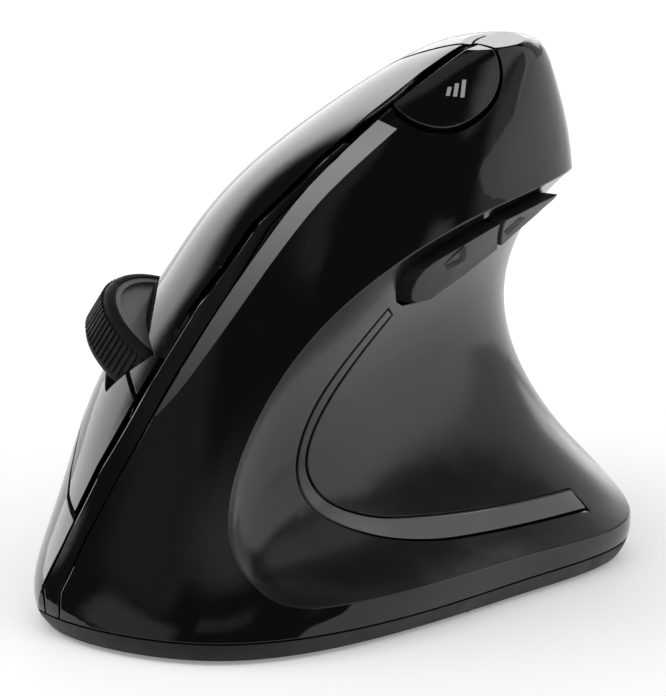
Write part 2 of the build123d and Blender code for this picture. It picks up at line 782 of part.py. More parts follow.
with BuildPart() as sensor_lens:
    with BuildSketch(Plane.XY.offset(base_top)):
        with Locations((sensor_x, sensor_y)):
            Rectangle(*lens_size)
    extrude(amount=lens_flange)
    with BuildSketch(Plane.XY.offset(base_top + lens_flange)):
        with Locations((sensor_x, sensor_y)):
            Circle(lens_eye_radius)
    extrude(amount=main_board_height - lens_flange)
finish(sensor_lens.part, "sensor_lens")
with BuildPart() as light_source:
    with BuildSketch(Plane.XY.offset(board_top)):
        with Locations((sensor_x, sensor_y + light_offset)):
            Circle(light_radius)
    extrude(amount=light_height)
    fillet(light_source.faces().sort_by(Axis.Z)[-1].edges(), light_dome)
finish(light_source.part, "light_source")
chip_x = chip_place[0] * stretch_x
chip_y = chip_place[1] * stretch_y
finish(block(chip_x, chip_y, chip_size[0], chip_size[1], board_top, board_top + chip_size[2]), "controller_chip")

# Power slider in the base, under its switch
slider_x = slider_place[0] * stretch_x
slider_y = slider_place[1] * stretch_y
slider_bottom = foot_height + slider_sink
neck_top = board_z - power_switch_size[2] - slack
slot_length = slider_size[0] + slider_travel + 2 * slack
with BuildPart() as power_slider:
    with BuildSketch(Plane.XY.offset(slider_bottom)):
        with Locations((slider_x - slider_travel / 2, slider_y)):
            Rectangle(*slider_size)
    extrude(amount=slider_height)
    with BuildSketch(Plane.XY.offset(slider_bottom + slider_height)):
        with Locations((slider_x - slider_travel / 2, slider_y)):
            Rectangle(*slider_neck)
    extrude(amount=neck_top - slider_bottom - slider_height)
    with BuildSketch(Plane.XY.offset(slider_bottom)):
        with Locations(*[(slider_x - slider_travel / 2 + step, slider_y) for step in slider_grooves]):
            Rectangle(slider_groove[0], slider_groove[1])
    extrude(amount=slider_groove[2], mode=Mode.SUBTRACT)
finish(power_slider.part, "power_slider")
finish(block(slider_x, slider_y, power_switch_size[0], power_switch_size[1], board_z - power_switch_size[2], board_z),
       "power_switch")

# Battery bay
bay_x = bay_centre * stretch_x
bay_y = bay_front * stretch_y
bay_width = cell_pitch + cell_diameter + 2 * slack
bay_length = cell_length + cell_nub_height + bay_spring_room + bay_plate_room
bay_middle = bay_y + bay_length / 2
cell_z = base_top + cell_diameter / 2 + slack
cell_front = bay_y + bay_spring_room
cells_x = [bay_x - cell_pitch / 2, bay_x + cell_pitch / 2]


def along_y(x, y, z):
    """A sketch plane that faces the palm."""
    return Plane(origin=(x, y, z), x_dir=(1, 0, 0), z_dir=(0, 1, 0))


with BuildPart() as battery_cells:
    for index, x in enumerate(cells_x):
        with BuildSketch(along_y(x, cell_front, cell_z)):
            Circle(cell_diameter / 2)
        extrude(amount=cell_length)
        with BuildSketch(along_y(x, cell_front + cell_length, cell_z)):
            Circle(cell_nub_radius)
        extrude(amount=cell_nub_height)
finish(battery_cells.part, "battery_cells")
with BuildPart() as battery_springs:
    for x in cells_x:
        with BuildSketch(along_y(x, bay_y, cell_z)):
            Rectangle(cell_diameter - contact_margin, cell_diameter - 2 * contact_margin)
        extrude(amount=contact_sheet)
        with BuildSketch(along_y(x, bay_y + contact_sheet, cell_z)):
            Circle(spring_radii[0])
        with BuildSketch(along_y(x, cell_front, cell_z)):
            Circle(spring_radii[1])
        loft()
finish(battery_springs.part, "battery_springs")
with BuildPart() as battery_plate:
    with BuildSketch(along_y(bay_x, cell_front + cell_length + cell_nub_height, cell_z)):
        Rectangle(bay_width - 2 * contact_margin, cell_diameter - 2 * contact_margin)
    extrude(amount=contact_sheet)
    with BuildSketch(along_y(bay_x, cell_front + cell_length + cell_nub_height + contact_sheet, cell_z)):
        with Locations((-cell_pitch / 2, 0), (cell_pitch / 2, 0)):
            Rectangle(plate_rib_width, cell_diameter - 4 * contact_margin)
    extrude(amount=bay_plate_room - contact_sheet)
finish(battery_plate.part, "battery_plate")

# Base plate, with its bay, bosses, posts, slots and the door's rebate
door_x_half = bay_width / 2 + door_ledge
door_front = bay_y - door_ledge
door_top = foot_height + door_thickness
receiver_x = receiver_place[0] * stretch_x
receiver_y = receiver_place[1] * stretch_y
receiver_bottom = foot_height + receiver_sink
receiver_room_x = receiver_size[0] + 2 * slack
receiver_room_y = receiver_size[1] + 2 * slack
receiver_top = receiver_bottom + receiver_size[2]
with BuildPart() as bay_walls:
    with BuildSketch(Plane.XY.offset(base_top)):
        with Locations((bay_x, bay_middle)):
            Rectangle(bay_width + 2 * bay_wall, bay_length + 2 * bay_wall)
            Rectangle(bay_width, bay_length, mode=Mode.SUBTRACT)
    extrude(amount=bay_wall_height)
with BuildPart() as receiver_walls:
    with BuildSketch(Plane.XY.offset(base_top)):
        with Locations((receiver_x, receiver_y)):
            Rectangle(receiver_room_x + 2 * bay_wall, receiver_room_y + 2 * bay_wall)
            Rectangle(receiver_room_x, receiver_room_y, mode=Mode.SUBTRACT)
    extrude(amount=receiver_top - base_top)
with BuildPart() as base_plate:
    add(base_slab.part)
    add(bay_walls.part)
    add(receiver_walls.part)
    with BuildSketch(Plane.XY.offset(base_top)):
        with Locations(*boss_spots):
            Circle(boss_radius)
    extrude(amount=main_board_height)
    with BuildSketch(Plane.XY.offset(base_top + 1)):
        with Locations(*boss_spots):
            Circle(board_screw_radius)
    extrude(amount=main_board_height, mode=Mode.SUBTRACT)
    add(block(bay_x, bay_middle, bay_width, bay_length, 0, base_top + 1), mode=Mode.SUBTRACT)
    add(block(bay_x, door_front + door_cut_length / 2, 2 * door_x_half, door_cut_length, 0, door_top + slack / 2),
        mode=Mode.SUBTRACT)
    add(block(receiver_x, receiver_y, receiver_room_x, receiver_room_y, 0, receiver_top), mode=Mode.SUBTRACT)
    add(block(slider_x, slider_y, slot_length, slider_size[1] + 2 * slack, 0, slider_bottom + slider_height + slack),
        mode=Mode.SUBTRACT)
    add(block(slider_x, slider_y, slider_neck[0] + slider_travel + 2 * slack, slider_neck[1] + 2 * slack, 0,
              base_top + 1), mode=Mode.SUBTRACT)
    with BuildSketch(Plane.XY):
        with Locations((sensor_x, sensor_y)):
            Circle(aperture_radius)
    extrude(amount=base_top, mode=Mode.SUBTRACT)
    add(screw_bores(screw_radius + running_fit, 0, base_top + 1), mode=Mode.SUBTRACT)
    add(screw_bores(screw_head_radius + running_fit, 0, foot_height + screw_head_height), mode=Mode.SUBTRACT)
finish(base_plate.part, "base_plate")

# Battery door, which slides out at the heel
with BuildPart() as battery_door:
    add(outer_form)
    add(block(bay_x, door_front + slack + door_cut_length / 2, 2 * (door_x_half - slack), door_cut_length, 0,
              door_top), mode=Mode.INTERSECT)
    with BuildSketch(Plane.XY.offset(foot_height)):
        with Locations(*[(bay_x, bay_middle + door_rib_start + door_rib_pitch * step)
                         for step in range(door_rib_count)]):
            Rectangle(door_rib_size[0], door_rib_size[1])
    extrude(amount=door_rib_size[2], mode=Mode.SUBTRACT)
finish(battery_door.part, "battery_door")

# Stored receiver: a metal plug with a plastic cap
with BuildPart() as receiver_cap:
    add(block(receiver_x, receiver_y + (receiver_size[1] - receiver_cap_length) / 2, receiver_size[0],
              receiver_cap_length, receiver_bottom, receiver_top))
    fillet(receiver_cap.edges().filter_by(Axis.Z), receiver_corner)
finish(receiver_cap.part, "receiver_cap")
plug_length = receiver_size[1] - receiver_cap_length
plug_bottom = receiver_bottom + (receiver_size[2] - receiver_plug_height) / 2
finish(block(receiver_x, receiver_y - receiver_cap_length / 2, receiver_plug_width, plug_length, plug_bottom,
             plug_bottom + receiver_plug_height), "receiver_plug")

# Feet
finish(block(front_foot_place[0] * stretch_x, front_foot_place[1] * stretch_y, front_foot_size[0],
             front_foot_size[1], 0, foot_height), "front_foot")
with BuildPart() as rear_feet:
    for x, y in rear_foot_places:
        add(block(x * stretch_x, y * stretch_y, rear_foot_size[0], rear_foot_size[1], 0, foot_height))
finish(rear_feet.part, "rear_feet")

# Case screws and board screws
with BuildPart() as case_screws:
    for x, y in case_screws_at:
        with BuildSketch(Plane.XY.offset(foot_height + screw_recess)):
            with Locations((x, y)):
                Circle(screw_head_radius)
                Rectangle(*screw_cross, mode=Mode.SUBTRACT)
                Rectangle(*reversed(screw_cross), mode=Mode.SUBTRACT)
        extrude(amount=screw_cross_depth)
        with BuildSketch(Plane.XY.offset(foot_height + screw_recess + screw_cross_depth)):
            with Locations((x, y)):
                Circle(screw_head_radius)
        extrude(amount=screw_head_height - screw_recess - screw_cross_depth)
        with BuildSketch(Plane.XY.offset(foot_height + screw_head_height)):
            with Locations((x, y)):
                Circle(screw_radius)
        extrude(amount=screw_length)
finish(case_screws.part, "case_screws")
for name, plane, spots in (("main_board_screws", Plane.XY.offset(board_top), boss_spots),
                           ("slope_board_screws", slope_plane(-board_depth), board_screw_spots)):
    with BuildPart() as board_screws:
        with BuildSketch(plane):
            with Locations(*spots):
                Circle(board_screw_head)
        extrude(amount=board_screw_head_height)
        with BuildSketch(plane.offset(-board_screw_length)):
            with Locations(*spots):
                Circle(board_screw_radius)
        extrude(amount=board_screw_length)
    finish(board_screws.part, name)

# Inner frame: a sloped plate with pegs, on a foot and a mast that stand on the base
mast_y = mast_place[1] * stretch_y
mast_x = mast_place[0] * stretch_x
with BuildPart() as inner_frame:
    add(slope_box(frame_low, frame_high, frame_front, board_back, -frame_depth - frame_thickness, -frame_depth))
    add(disc(axle_plane(-notch_half - slack), bar_front, 2 * (notch_half + slack)), mode=Mode.SUBTRACT)
    with BuildSketch(slope_plane(-frame_depth)):
        with Locations(*board_screw_spots):
            Circle(frame_peg_radius)
    extrude(amount=frame_depth - board_depth - board_thickness)
    add(block(frame_leg_x * stretch_x, mast_y, *frame_leg_size, base_top, lifted(frame_leg_height)))
    add(block(mast_x, mast_y, *mast_size, base_top, lifted(mast_height)))
    add(slope_screw_bores.part, mode=Mode.SUBTRACT)
finish(inner_frame.part, "inner_frame")

# Side board with the forward and back switches
side_board_x = mast_x + mast_size[0] / 2
side_switch_base = side_switch_face - small_switch_height - small_plunger
side_plane = Plane(origin=(side_switch_base, 0, 0), x_dir=(0, 1, 0), z_dir=(1, 0, 0))
with BuildPart() as side_board:
    with BuildSketch(Plane(origin=(side_board_x, 0, 0), x_dir=(0, 1, 0), z_dir=(1, 0, 0))):
        with Locations((side_board_middle[0] * stretch_y, lifted(side_board_middle[1]))):
            Rectangle(*side_board_size)
    extrude(amount=side_switch_base - side_board_x)
finish(side_board.part, "side_board")
for name, button in (("forward_switch", "forward_button"), ("back_switch", "back_button")):
    y, z = side_stems[button]
    finish(micro_switch(side_plane, y * stretch_y, lifted(z), small_switch, small_switch - 1.4, small_switch_height,
                        small_plunger, side_plunger), name)

# Resolution switch and its small board, which hangs on the front shell's peg
finish(micro_switch(resolution_board_plane, *resolution_middle, resolution_switch_width, resolution_switch_width,
                    resolution_switch_height, small_plunger, tiny_plunger), "resolution_switch")
with BuildPart() as resolution_board:
    with BuildSketch(resolution_board_plane.offset(-resolution_board_thickness)):
        with Locations(resolution_board_middle):
            Rectangle(*resolution_board_size)
    extrude(amount=resolution_board_thickness)
finish(resolution_board.part, "resolution_board")
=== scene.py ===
import json
import math

import bmesh
import bpy
from bpy.props import FloatProperty, FloatVectorProperty, IntProperty, PointerProperty
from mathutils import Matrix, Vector
from mathutils.bvhtree import BVHTree


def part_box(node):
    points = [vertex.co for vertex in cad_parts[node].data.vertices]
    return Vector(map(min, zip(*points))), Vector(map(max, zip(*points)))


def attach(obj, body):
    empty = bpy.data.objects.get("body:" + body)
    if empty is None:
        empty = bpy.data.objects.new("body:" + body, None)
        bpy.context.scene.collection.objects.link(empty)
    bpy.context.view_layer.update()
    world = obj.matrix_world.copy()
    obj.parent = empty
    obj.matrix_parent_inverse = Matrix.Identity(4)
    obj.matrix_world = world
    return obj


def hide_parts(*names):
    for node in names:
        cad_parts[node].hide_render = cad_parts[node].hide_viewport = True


bl_info = {
    "name": "Vertical mouse",
    "version": (1, 0, 0),
    "blender": (4, 5, 0),
    "location": "View3D > Sidebar > Mouse",
    "description": "Rounded shells, finishes and marks for a vertical mouse, on a plain studio floor",
    "category": "Object",
}

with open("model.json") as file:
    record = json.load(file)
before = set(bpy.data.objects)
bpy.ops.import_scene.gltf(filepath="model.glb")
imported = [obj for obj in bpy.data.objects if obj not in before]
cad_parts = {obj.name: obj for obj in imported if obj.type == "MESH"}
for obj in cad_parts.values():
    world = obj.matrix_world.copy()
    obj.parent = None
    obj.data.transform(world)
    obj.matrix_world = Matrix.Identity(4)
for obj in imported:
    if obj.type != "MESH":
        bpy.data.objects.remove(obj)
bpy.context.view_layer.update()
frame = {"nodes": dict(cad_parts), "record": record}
nodes = frame["nodes"]
mm = 0.001

# The body that each node rides on
body_of = {node: body for body, members in frame["record"]["behaviour"]["bodies"].items() for node in members}

# The picture that the camera takes
picture_columns = 666
picture_rows = 696
sensor_width = 36.0
far_clip = 100

# Dressing: what counts as one point, a smooth face, an edge to round and a crease
weld_distance = 0.004 * mm
smooth_limit = math.radians(13)
sharp_edge = math.radians(32)
crease = math.radians(50)

# Dressing: the least cosine between a packed normal and its face, the least length of a mixed normal,
# how far towards its face's middle a corner looks for its normal, and what counts as a triangle of no area
normal_turn = 0.7
normal_least = 0.5
inset_share = 0.1
flat_triangle = 1e-20

# How much of a battery cell's length has the paler end of its sleeve
sleeve_share = 0.3

# Case screws: the bore's radius with room to find its faces, and where the shortened tips end
bore_radius = 1.12 * mm
screw_top = 4.9 * mm

# Marks: how finely a plate is divided, the least cosine between the skin under it and the way that skin
# faces as a whole, and how often a strip is drawn over a seam
mark_cuts = 3
strip_cuts = 4
skin_turn = 0.75
bridge_rounds = 40

# Marks on the buttons, as places in the picture: the arrows are painted shadow, dark strokes along the shaded
# walls of engraved arrows
forward_arrow_painted_shadow = ((459, 242), (466, 242), (466, 260), (447, 270), (445, 266), (460, 258))
back_arrow_painted_shadow = ((520, 217), (525, 218), (508, 235), (504, 232))
mark_rise = 0.04 * mm
mark_depth = 0.15 * mm

# Three bars on the resolution button, in pixels: the middle one's middle, the step from each to the next,
# the half width, by which they also lean, and the half length that a millimetre of mark height gives.
# The shares are their lengths against the longest.
bar_middle = (455, 90)
bar_step = (7.28, -1.4)
bar_half_width = 2
bar_half_length = 3.4
bar_shares = (0.5, 0.75, 1.0)
bar_rise = 0.03 * mm

# The polished strip: its sides in the picture, from its cut end to its tip, its plate, and the least
# cosine between the normal that it is given and its own
strip_right = ((397, 129), (329, 192), (282, 249), (233, 318), (186, 383), (157, 416))
strip_left = ((378, 120), (309, 187), (263, 246), (213, 319), (172, 386), (155, 415))
strip_steps = 4
strip_rise = 0.06 * mm
strip_depth = 0.12 * mm
strip_roughness = 0.3
strip_normal_turn = 0.8

# What the strip mirrors: its rows in the picture, where its ends mirror to in degrees, the lamps' levels
# along it, their height, how much each overlaps the next, and the point that they stand round
strip_rows = (118, 417)
strip_azimuths = (40, -62)
strip_elevation = 50
strip_levels = (9.6, 8.4, 6.9, 5.0, 3.4, 2.2, 1.4, 0.9, 0.6)
strip_lamp_height = 0.9
strip_lamp_overlap = 1.02
strip_centre = Vector((0, 0, 0.04))

# How far every lamp stands
lamp_distance = 2.0

# The key lamp, high on the finger side: its direction in degrees, its width and its power
key_azimuth = -110
key_elevation = 48
key_size = 1.6
key_energy = 7.0

# The floor's half width, and how much it glows where it is looked at
floor_half = 3
floor_glow = 0.24

# The world: plain light on everything, and what polished surfaces mirror between the soft boxes and above
# them, where the ceiling brightens between two elevations in degrees
plain_level = 0.8
dark_level = 0.03
ceiling_level = 0.4
ceiling_start = 60
ceiling_full = 74

# Soft boxes that polished surfaces mirror: azimuth from and to, elevation from and to, soft edge, level.
# Angles are in degrees, and azimuth runs from the nose towards the thumb side, all the way round.
soft_boxes = (
    (122, 147, -20, 43, 4, 1.05),
    (86, 122, 16, 45, 10, 1.0),
    (104, 124, -20, 14, 16, 0.45),
    (147, 190, -20, 33, 4, 0.42),
    (132, 168, 46, 62, 8, 0.45),
    (176, 192, 4, 17, 4, 1.3),
    (190, 264, -20, 27, 12, 2.2),
    (0, 50, 38, 50, 10, 0.2),
    (275, 330, 42, 66, 16, 0.14),
    (298, 345, 4, 38, 12, 0.45),
)


class MouseColours(bpy.types.PropertyGroup):
    """Colours of the outer pieces, as they render in plain light."""
    shell: FloatVectorProperty(name="Shell", description="Glossy shell",
                               subtype="COLOR", size=3, default=(0.0035, 0.0035, 0.0038))
    scoop: FloatVectorProperty(name="Scoop", description="Satin thumb scoop",
                               subtype="COLOR", size=3, default=(0.009, 0.009, 0.0095))
    buttons: FloatVectorProperty(name="Side buttons", description="Matte side buttons",
                                 subtype="COLOR", size=3, default=(0.018, 0.018, 0.019))
    # Painted shadow: the dark strokes on the side buttons stand for the shaded walls of engraved arrows
    painted_arrow_shade: FloatVectorProperty(name="Inlay", description="Dark arrows on the side buttons",
                               subtype="COLOR", size=3, default=(0.003, 0.003, 0.003))
    # Painted reflection: the pale low end of the thumb trim stands for the bright light that its upturned
    # face mirrors
    trim: FloatVectorProperty(name="Trim", description="Low end of the strip that curls round the thumb",
                              subtype="COLOR", size=3, default=(0.15, 0.15, 0.155))
    # Painted shade: the dark high end of the thumb trim stands for the shade in its groove
    painted_groove_shade: FloatVectorProperty(name="Groove", description="High end of the strip that curls round the thumb",
                                subtype="COLOR", size=3, default=(0.002, 0.002, 0.002))
    tyre: FloatVectorProperty(name="Tyre", description="Rubber of the wheel",
                              subtype="COLOR", size=3, default=(0.006, 0.006, 0.006))
    hub: FloatVectorProperty(name="Hub", description="Disc in the wheel",
                             subtype="COLOR", size=3, default=(0.14, 0.14, 0.145))
    base: FloatVectorProperty(name="Base", description="Textured base",
                              subtype="COLOR", size=3, default=(0.012, 0.012, 0.012))
    mark: FloatVectorProperty(name="Mark", description="Pale bars on the resolution button",
                              subtype="COLOR", size=3, default=(0.36, 0.36, 0.37))


class MouseSizes(bpy.types.PropertyGroup):
    """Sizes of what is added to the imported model."""
    edge_round: FloatProperty(name="Edge round", description="Width of the rounding along moulded edges",
                              subtype="DISTANCE", unit="LENGTH", default=0.22 * mm)
    round_steps: IntProperty(name="Round steps", description="Faces across a rounded edge",
                             default=2, min=1, max=4)
    mark_height: FloatProperty(name="Mark height", description="Length of the longest bar on the button",
                               subtype="DISTANCE", unit="LENGTH", default=2.6 * mm)
    # Painted shade: between these heights the trim darkens upwards, as shade painted into its groove
    painted_shade_start: FloatProperty(name="Groove start", description="Height where the trim starts to darken",
                                subtype="DISTANCE", unit="LENGTH", default=10 * mm)
    painted_shade_end: FloatProperty(name="Groove end", description="Height above which the trim is dark",
                              subtype="DISTANCE", unit="LENGTH", default=21 * mm)


class MouseStudio(bpy.types.PropertyGroup):
    """The camera."""
    azimuth: FloatProperty(name="Azimuth", description="The camera's turn from the nose to the thumb side",
                           subtype="ANGLE", unit="ROTATION", default=math.radians(28))
    elevation: FloatProperty(name="Elevation", description="The camera's height above the horizon",
                             subtype="ANGLE", unit="ROTATION", default=math.radians(14))
    lens: FloatProperty(name="Lens", description="Focal length in millimetres", default=1500.0)
    view_height: FloatProperty(name="View height", description="What the picture takes in, top to bottom",
                               subtype="DISTANCE", unit="LENGTH", default=92.8 * mm)
    aim: FloatVectorProperty(name="Aim", description="The point in the middle of the picture", size=3,
                             subtype="TRANSLATION", default=(1.2 * mm, -9.8 * mm, 31.6 * mm))


def settings():
    """The colours, the sizes and the studio of this scene."""
    scene = bpy.context.scene
    return scene.mouse_colours, scene.mouse_sizes, scene.mouse_studio


# Materials

def new_material(name, colour, roughness, **plain):
    """A material whose plain values are set on the shader's own sockets."""
    material = bpy.data.materials.new(name)
    material.use_nodes = True
    shader = material.node_tree.nodes["Principled BSDF"]
    shader.inputs["Base Color"].default_value = (*colour, 1)
    shader.inputs["Roughness"].default_value = roughness
    for socket, value in plain.items():
        shader.inputs[socket.replace("_", " ")].default_value = value
    return material


def add_node(material, kind, **values):
    """A node with some of its properties and inputs set."""
    node = material.node_tree.nodes.new(kind)
    for name, value in values.items():
        if name in node.inputs:
            node.inputs[name].default_value = value
        else:
            setattr(node, name, value)
    return node


def link(material, source, output, target, socket):
    """Joins an output of one node to a socket of another."""
    material.node_tree.links.new(source.outputs[output], target.inputs[socket])


def object_noise(material, wavelength, detail=2.0):
    """Noise on object coordinates, whose lumps are about a wavelength across."""
    place = add_node(material, "ShaderNodeTexCoord")
    noise = add_node(material, "ShaderNodeTexNoise", Scale=1 / wavelength, Detail=detail)
    link(material, place, "Object", noise, "Vector")
    return noise


def add_bump(material, wavelength, height, detail=2.0):
    """Fine relief of a given height."""
    shader = material.node_tree.nodes["Principled BSDF"]
    noise = object_noise(material, wavelength, detail)
    bump = add_node(material, "ShaderNodeBump", Strength=1.0, Distance=height)
    link(material, noise, "Fac", bump, "Height")
    link(material, bump, "Normal", shader, "Normal")


def vary_roughness(material, wavelength, low, high):
    """Roughness that drifts between two values, as on handled plastic."""
    shader = material.node_tree.nodes["Principled BSDF"]
    noise = object_noise(material, wavelength, detail=4.0)
    spread = add_node(material, "ShaderNodeMapRange")
    for socket, value in (("From Min", 0.3), ("From Max", 0.7), ("To Min", low), ("To Max", high)):
        spread.inputs[socket].default_value = value
    link(material, noise, "Fac", spread, "Value")
    link(material, spread, "Result", shader, "Roughness")


def gloss_plastic(name, colour):
    """Polished moulded plastic, with a trace of orange peel and of handling."""
    material = new_material(name, colour, roughness=0.06, Specular_IOR_Level=0.5)
    vary_roughness(material, wavelength=9 * mm, low=0.035, high=0.085)
    add_bump(material, wavelength=2.4 * mm, height=0.0012 * mm)
    return material


def satin_plastic(name, colour, low=0.16, high=0.22):
    """Finely grained plastic with a soft sheen."""
    material = new_material(name, colour, roughness=0.2)
    vary_roughness(material, wavelength=6 * mm, low=low, high=high)
    add_bump(material, wavelength=0.16 * mm, height=0.0015 * mm, detail=3.0)
    return material


def matte_plastic(name, colour):
    """Finely grained plastic with hardly any sheen, as on the side buttons."""
    material = satin_plastic(name, colour, low=0.42, high=0.5)
    material.node_tree.nodes["Principled BSDF"].inputs["Specular IOR Level"].default_value = 0.22
    return material


def rough_plastic(name, colour, grain=0.35 * mm, depth=0.02 * mm):
    """Spark-textured moulded plastic."""
    material = new_material(name, colour, roughness=0.55)
    vary_roughness(material, wavelength=4 * mm, low=0.45, high=0.65)
    add_bump(material, wavelength=grain, height=depth, detail=4.0)
    return material


def rubber(name, colour):
    """Dull rubber with a fine, uneven grain."""
    material = new_material(name, colour, roughness=0.7, Specular_IOR_Level=0.35)
    vary_roughness(material, wavelength=1.5 * mm, low=0.55, high=0.8)
    add_bump(material, wavelength=0.12 * mm, height=0.006 * mm, detail=4.0)
    return material


def slip_plastic(name, colour):
    """The smooth, slightly uneven plastic of a glide foot."""
    material = new_material(name, colour, roughness=0.35)
    add_bump(material, wavelength=0.8 * mm, height=0.004 * mm)
    return material


def clear_plastic(name):
    """The clear plastic of a lens."""
    material = new_material(name, (0.9, 0.9, 0.9), roughness=0.05, Transmission_Weight=1.0, IOR=1.49)
    add_bump(material, wavelength=3 * mm, height=0.002 * mm)
    return material


def metal(name, colour, roughness):
    """Plated metal, drawn out along one direction."""
    material = new_material(name, colour, roughness, Metallic=1.0)
    place = add_node(material, "ShaderNodeTexCoord")
    stretch = add_node(material, "ShaderNodeMapping", Scale=(1, 12, 12))
    noise = add_node(material, "ShaderNodeTexNoise", Scale=600, Detail=3.0)
    bump = add_node(material, "ShaderNodeBump", Strength=0.4, Distance=0.004 * mm)
    link(material, place, "Object", stretch, "Vector")
    link(material, stretch, "Vector", noise, "Vector")
    link(material, noise, "Fac", bump, "Height")
    link(material, bump, "Normal", material.node_tree.nodes["Principled BSDF"], "Normal")
    return material


def mix_colours(material, share, output, low_colour, high_colour):
    """Colours the shader between two colours, by an output that runs from 0 to 1."""
    mix = add_node(material, "ShaderNodeMix", data_type="RGBA")
    mix.inputs[6].default_value = (*low_colour, 1)
    mix.inputs[7].default_value = (*high_colour, 1)
    link(material, share, output, mix, 0)
    link(material, mix, 2, material.node_tree.nodes["Principled BSDF"], "Base Color")


def cell_sleeve(name, low_colour, high_colour, edge):
    """Two colours that meet at a place along Y, as on a battery cell's sleeve."""
    material = new_material(name, low_colour, roughness=0.35)
    place = add_node(material, "ShaderNodeTexCoord")
    split = add_node(material, "ShaderNodeSeparateXYZ")
    step = add_node(material, "ShaderNodeMath", operation="GREATER_THAN")
    step.inputs[1].default_value = edge
    link(material, place, "Object", split, "Vector")
    link(material, split, "Y", step, 0)
    mix_colours(material, step, "Value", low_colour, high_colour)
    return material


def paint_light_and_shade_by_height(material, low_colour, high_colour, low, high):
    """Paints light and shade by height: runs from one colour at a height to another above it."""
    place = add_node(material, "ShaderNodeTexCoord")
    split = add_node(material, "ShaderNodeSeparateXYZ")
    spread = add_node(material, "ShaderNodeMapRange", interpolation_type="SMOOTHSTEP")
    spread.inputs["From Min"].default_value = low
    spread.inputs["From Max"].default_value = high
    link(material, place, "Object", split, "Vector")
    link(material, split, "Z", spread, "Value")
    mix_colours(material, spread, "Result", low_colour, high_colour)


def circuit_board(name):
    """Green solder mask with paler copper tracks under it."""
    material = new_material(name, (0.01, 0.09, 0.03), roughness=0.3)
    place = add_node(material, "ShaderNodeTexCoord")
    tracks = add_node(material, "ShaderNodeTexBrick", Scale=260.0, offset=0.5)
    tracks.inputs["Color1"].default_value = (0.008, 0.07, 0.025, 1)
    tracks.inputs["Color2"].default_value = (0.01, 0.085, 0.03, 1)
    tracks.inputs["Mortar"].default_value = (0.03, 0.2, 0.07, 1)
    tracks.inputs["Mortar Size"].default_value = 0.03
    link(material, place, "Object", tracks, "Vector")
    link(material, tracks, "Color", material.node_tree.nodes["Principled BSDF"], "Base Color")
    return material


def floor_paint(name):
    """Pale paint that glows a little where it is looked at, so that it shows white and keeps the shadow."""
    material = new_material(name, (0.88, 0.88, 0.88), roughness=0.6, Specular_IOR_Level=0.1)
    rays = add_node(material, "ShaderNodeLightPath")
    seen = add_node(material, "ShaderNodeMath", operation="ADD")
    looked_at = add_node(material, "ShaderNodeMath", operation="ADD", use_clamp=True)
    level = add_node(material, "ShaderNodeMath", operation="MULTIPLY")
    level.inputs[1].default_value = floor_glow
    glow = add_node(material, "ShaderNodeEmission", Color=(1, 1, 1, 1))
    both = add_node(material, "ShaderNodeAddShader")
    link(material, rays, "Is Camera Ray", seen, 0)
    link(material, rays, "Is Glossy Ray", seen, 1)
    link(material, seen, "Value", looked_at, 0)
    link(material, rays, "Is Transmission Ray", looked_at, 1)
    link(material, looked_at, "Value", level, 0)
    link(material, level, "Value", glow, "Strength")
    link(material, material.node_tree.nodes["Principled BSDF"], "BSDF", both, 0)
    link(material, glow, "Emission", both, 1)
    link(material, both, "Shader", material.node_tree.nodes["Material Output"], "Surface")
    return material


def paint(names, material):
    """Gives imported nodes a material, with their shapes as they are."""
    for node in names:
        mesh = nodes[node].data
        mesh.materials.clear()
        mesh.materials.append(material)


# Lines of sight

def camera_axes():
    """The directions from the aim to the camera, to the picture's right, and to its top."""
    studio = settings()[2]
    across, up = studio.azimuth, studio.elevation
    back = Vector((math.sin(across) * math.cos(up), -math.cos(across) * math.cos(up), math.sin(up)))
    right = Vector((math.cos(across), math.sin(across), 0))
    return back, right, back.cross(right)


def camera_place():
    """Where the camera stands, so that the picture takes in the view's height at the aim."""
    studio = settings()[2]
    return Vector(studio.aim) + camera_axes()[0] * studio.view_height * studio.lens / sensor_width


def sight(column, row):
    """The line of sight through a place in the picture: where it starts, and its direction."""
    studio = settings()[2]
    _, right, up = camera_axes()
    pixel = studio.view_height / picture_rows
    target = Vector(studio.aim) + right * (column - picture_columns / 2) * pixel
    target -= up * (row - picture_rows / 2) * pixel
    start = camera_place()
    return start, (target - start).normalized()


def sky_direction(azimuth, elevation):
    """The direction of an azimuth from the nose towards the thumb side, and an elevation."""
    return Vector((math.sin(azimuth) * math.cos(elevation), -math.cos(azimuth) * math.cos(elevation),
                   math.sin(elevation)))


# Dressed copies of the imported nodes

def add_piece(name, mesh, node):
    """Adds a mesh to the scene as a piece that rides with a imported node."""
    piece = bpy.data.objects.new(name, mesh)
    bpy.context.scene.collection.objects.link(piece)
    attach(piece, body_of[node])
    return piece


def smooth_region(seed, limit):
    """The faces round a seed face, out to the edges that are sharper than a limit."""
    region = {seed}
    border = [seed]
    while border:
        for edge in border.pop().edges:
            if len(edge.link_faces) == 2 and edge.calc_face_angle(math.pi) < limit:
                for other in edge.link_faces:
                    if other not in region:
                        region.add(other)
                        border.append(other)
    return region


def round_edges(shape, width, steps, sharpness):
    """Rounds every edge that is sharper than an angle, and returns the new faces."""
    edges = [edge for edge in shape.edges
             if len(edge.link_faces) == 2 and edge.calc_face_angle(0) > sharpness]
    result = bmesh.ops.bevel(shape, geom=edges, offset=width, offset_type="OFFSET", segments=steps,
                             profile=0.5, affect="EDGES", clamp_overlap=False, material=-1)
    return result["faces"]


